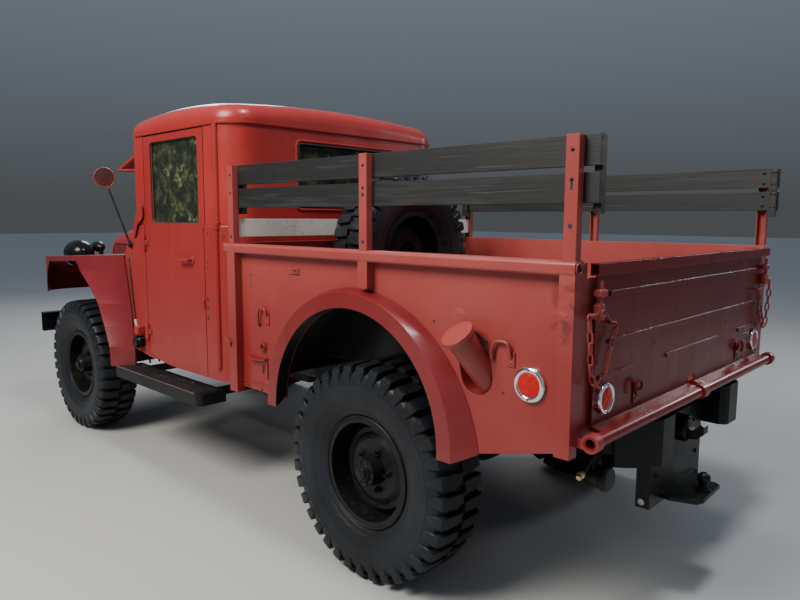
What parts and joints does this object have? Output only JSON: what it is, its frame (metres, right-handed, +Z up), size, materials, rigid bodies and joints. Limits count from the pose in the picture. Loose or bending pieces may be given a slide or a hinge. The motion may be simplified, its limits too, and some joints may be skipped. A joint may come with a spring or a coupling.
{
  "type": "military cargo truck",
  "caption": "Red military cargo truck with a hardtop cab, a steel cargo bed, wooden rack boards, a dropping tailgate, lugged tyres and a spare wheel standing in the bed.",
  "frame": {"origin": "on the ground under the middle of the truck's length and width", "axes": "+X is the truck's left, -Y its front, +Z up"},
  "size_m": [1.9645, 4.694, 2.0679],
  "materials": {
    "red_paint": "semi-gloss",
    "black_paint": "satin",
    "engine_iron": "rough",
    "tyre_rubber": "matte",
    "dark_glass": "gloss",
    "black_wood": "weathered paint",
    "white_wood": "weathered paint",
    "seat_cloth": "matte",
    "red_lens": "gloss"
  },
  "bodies": {
    "chassis": {"axles": "black_paint", "bumperettes": "black_paint", "cab_body": "red_paint", "cab_top": "red_paint", "cargo_bed": "red_paint", "driveline": "black_paint", "engine": "engine_iron", "frame": "black_paint", "front_board": "white_wood", "front_bumper": "black_paint", "front_fenders": "red_paint", "fuel_filler": "red_paint", "fuel_tank": "black_paint", "grille": "red_paint", "headlamps": "black_paint", "hitch": "black_paint", "leaf_springs": "black_paint", "mirrors": "red_paint", "radiator": "black_paint", "rear_fenders": "red_paint", "running_boards": "black_paint", "seats": "seat_cloth", "side_boards": "black_wood", "side_reflectors": "red_lens", "spare_tyre": "tyre_rubber", "spare_wheel": "black_paint", "stakes": "red_paint", "steering_wheel": "black_paint", "window_glass": "dark_glass", "windshield_frames": "red_paint"},
    "steer_left": {"knuckle_left": "black_paint"},
    "steer_right": {"knuckle_right": "black_paint"},
    "tie_rod": {"tie_rod": "black_paint"},
    "wheel_front_left": {"tyre_front_left": "tyre_rubber", "wheel_front_left": "black_paint"},
    "wheel_front_right": {"tyre_front_right": "tyre_rubber", "wheel_front_right": "black_paint"},
    "wheel_rear_left": {"tyre_rear_left": "tyre_rubber", "wheel_rear_left": "black_paint"},
    "wheel_rear_right": {"tyre_rear_right": "tyre_rubber", "wheel_rear_right": "black_paint"},
    "door_left": {"door_left": "red_paint", "door_glass_left": "dark_glass"},
    "door_right": {"door_right": "red_paint", "door_glass_right": "dark_glass"},
    "hood": {"hood": "red_paint"},
    "tailgate": {"tailgate": "red_paint", "tailgate_chains": "black_paint", "tailgate_reflectors": "red_lens"}
  },
  "joints": [
    {"name": "steer_left", "type": "hinge", "parent": "chassis", "child": "steer_left", "pos_m": [0.61, -1.528, 0.438], "axis": [0, 0, 1], "range_deg": [-28, 28]},
    {"name": "steer_right", "type": "hinge", "parent": "chassis", "child": "steer_right", "pos_m": [-0.61, -1.528, 0.438], "axis": [0, 0, 1], "range_deg": [-28, 28]},
    {"name": "tie_rod", "type": "hinge", "parent": "steer_left", "child": "tie_rod", "pos_m": [0.61, -1.363, 0.3587], "axis": [0, 0, 1], "range_deg": [-28, 28]},
    {"name": "wheel_front_left", "type": "hinge", "parent": "steer_left", "child": "wheel_front_left", "pos_m": [0.7875, -1.528, 0.438], "axis": [1, 0, 0], "continuous": true},
    {"name": "wheel_front_right", "type": "hinge", "parent": "steer_right", "child": "wheel_front_right", "pos_m": [-0.7875, -1.528, 0.438], "axis": [1, 0, 0], "continuous": true},
    {"name": "wheel_rear_left", "type": "hinge", "parent": "chassis", "child": "wheel_rear_left", "pos_m": [0.7875, 1.317, 0.438], "axis": [1, 0, 0], "continuous": true},
    {"name": "wheel_rear_right", "type": "hinge", "parent": "chassis", "child": "wheel_rear_right", "pos_m": [-0.7875, 1.317, 0.438], "axis": [1, 0, 0], "continuous": true},
    {"name": "door_left", "type": "hinge", "parent": "chassis", "child": "door_left", "pos_m": [0.806, -0.651, 1.025], "axis": [0, 0, -1], "range_deg": [0, 70]},
    {"name": "door_right", "type": "hinge", "parent": "chassis", "child": "door_right", "pos_m": [-0.806, -0.651, 1.025], "axis": [0, 0, 1], "range_deg": [0, 70]},
    {"name": "hood", "type": "hinge", "parent": "chassis", "child": "hood", "pos_m": [0, -0.935, 1.406], "axis": [-1, 0, 0], "range_deg": [0, 50]},
    {"name": "tailgate", "type": "hinge", "parent": "chassis", "child": "tailgate", "pos_m": [0, 2.278, 0.785], "axis": [-1, 0, 0], "range_deg": [0, 90]}
  ],
  "couplings": [
    {"joint": "steer_right", "follows": "steer_left", "ratio": 1},
    {"joint": "tie_rod", "follows": "steer_left", "ratio": -1}
  ]
}
